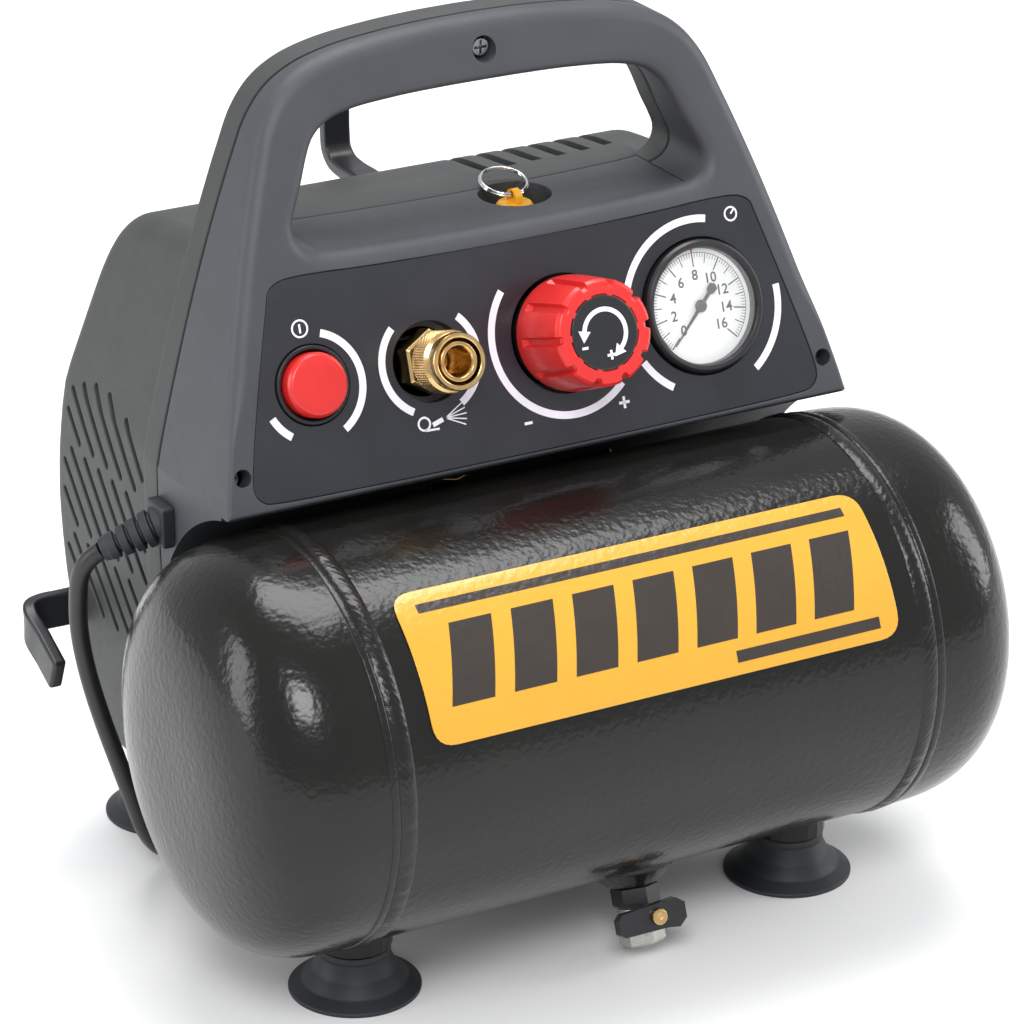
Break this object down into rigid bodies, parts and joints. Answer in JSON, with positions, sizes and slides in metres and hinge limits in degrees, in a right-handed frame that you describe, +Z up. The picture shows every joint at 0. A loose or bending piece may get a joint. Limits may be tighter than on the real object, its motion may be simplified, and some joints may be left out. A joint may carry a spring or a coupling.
{
  "type": "air compressor",
  "caption": "Portable air compressor: horizontal tank on suction feet, shrouded motor and pump behind it, and a raked control fascia whose top forms the carrying handle.",
  "frame": {"origin": "middle of the footprint at the floor, under the middle of the bounding box without the mains lead, its coil and plug", "axes": "+X along the tank towards its right-hand end seen from the controls, +Y from the control fascia to the motor shroud, +Z up"},
  "size_m": [0.338, 0.3753, 0.3494],
  "materials": {
    "tank_paint": "semi-gloss black paint",
    "fascia_plastic": "fine matt texture",
    "shroud_plastic": "matt texture",
    "panel_film": "glossy film",
    "rubber_black": "moulded rubber",
    "red_plastic": "satin red",
    "brass_plain": "turned brass",
    "nickel": "nickel plated",
    "screw_steel": "zinc plated",
    "ring_chrome": "bright wire",
    "yellow_plastic": "yellow cap",
    "label_film": "printed film",
    "dial_white": "printed dial",
    "lens_clear": "clear lens",
    "black_plastic": "black moulding",
    "cast_alloy": "as cast",
    "motor_iron": "laminated core",
    "mount_steel": "pressed steel",
    "copper_tube": "bare copper"
  },
  "bodies": {
    "base": {"tank_shell": "tank_paint", "tank_head_left": "tank_paint", "tank_head_right": "tank_paint", "weld_bead_left": "tank_paint", "weld_bead_right": "tank_paint", "foot_boss_front_left": "tank_paint", "foot_boss_front_right": "tank_paint", "rear_support_frame": "tank_paint", "drain_boss": "tank_paint", "front_fascia": "fascia_plastic", "handle_rear_shell": "shroud_plastic", "rear_shroud": "shroud_plastic", "control_panel_plate": "panel_film", "suction_foot_front_left": "rubber_black", "suction_foot_front_right": "rubber_black", "suction_foot_rear_left": "rubber_black", "suction_foot_rear_right": "rubber_black", "cord_strain_relief": "rubber_black", "power_cord": "rubber_black", "power_cord_coil": "rubber_black", "power_plug": "rubber_black", "coupler_body": "brass_plain", "tank_riser": "brass_plain", "check_valve": "brass_plain", "safety_valve_body": "brass_plain", "drain_valve_body": "nickel", "fascia_screw_left": "screw_steel", "fascia_screw_right": "screw_steel", "handle_screw": "screw_steel", "tank_label": "label_film", "gauge_dial": "dial_white", "gauge_lens": "lens_clear", "gauge_case": "black_plastic", "gauge_bezel": "black_plastic", "regulator_body": "black_plastic", "regulator_nut": "black_plastic", "start_switch_body": "black_plastic", "cord_hook_upper": "black_plastic", "cord_hook_lower": "black_plastic", "air_manifold": "cast_alloy", "crankcase": "cast_alloy", "cylinder": "cast_alloy", "cylinder_head": "cast_alloy", "motor_stator": "motor_iron", "motor_mount": "mount_steel", "discharge_tube": "copper_tube"},
    "start_button": {"start_button": "red_plastic"},
    "regulator_knob": {"regulator_knob": "red_plastic", "regulator_knob_cap": "black_plastic"},
    "gauge_needle": {"gauge_needle": "black_plastic"},
    "coupler_sleeve": {"coupler_sleeve": "brass_plain"},
    "coupler_poppet": {"coupler_poppet": "nickel"},
    "safety_valve_cap": {"safety_valve_cap": "yellow_plastic"},
    "safety_valve_ring": {"safety_valve_ring": "ring_chrome"},
    "drain_lever": {"drain_valve_lever": "black_plastic", "drain_lever_screw": "brass_plain"},
    "rotor": {"motor_rotor": "nickel", "cooling_fan": "black_plastic"},
    "piston": {"piston_rod": "cast_alloy"}
  },
  "joints": [
    {"name": "start_button_press", "type": "slide", "parent": "base", "child": "start_button", "axis": [0, 0.9461, -0.3239], "range_m": [0, 0.004], "stiffness_N_per_m": 600},
    {"name": "regulator_turn", "type": "hinge", "parent": "base", "child": "regulator_knob", "pos_m": [0.015, -0.02579, 0.23297], "axis": [0, -0.9461, 0.3239], "range_deg": [-1080, 0]},
    {"name": "gauge_needle_turn", "type": "hinge", "parent": "base", "child": "gauge_needle", "pos_m": [0.076, -0.02585, 0.23278], "axis": [0, -0.9461, 0.3239], "range_deg": [-270, 0], "stiffness_Nm_per_rad": 0.002},
    {"name": "coupler_sleeve_slide", "type": "slide", "parent": "base", "child": "coupler_sleeve", "axis": [0, 0.9461, -0.3239], "range_m": [0, 0.003], "stiffness_N_per_m": 800},
    {"name": "coupler_poppet_slide", "type": "slide", "parent": "base", "child": "coupler_poppet", "axis": [0, 0.9461, -0.3239], "range_m": [0, 0.004], "stiffness_N_per_m": 400},
    {"name": "safety_valve_lift", "type": "slide", "parent": "base", "child": "safety_valve_cap", "axis": [0, 0, 1], "range_m": [0, 0.002], "stiffness_N_per_m": 1000},
    {"name": "safety_ring_swing", "type": "hinge", "parent": "safety_valve_cap", "child": "safety_valve_ring", "pos_m": [0.018, 0.01895, 0.2744], "axis": [1, 0, 0], "range_deg": [0, 146]},
    {"name": "drain_lever_turn", "type": "hinge", "parent": "base", "child": "drain_lever", "pos_m": [0.011, -0.09209, 0.01625], "axis": [0, 0.9367, -0.3502], "range_deg": [-90, 0]},
    {"name": "motor_spin", "type": "hinge", "parent": "base", "child": "rotor", "pos_m": [0, 0.07995, 0.148], "axis": [1, 0, 0], "continuous": true},
    {"name": "piston_stroke", "type": "slide", "parent": "base", "child": "piston", "axis": [0, 0, 1], "range_m": [-0.02, 0]}
  ]
}
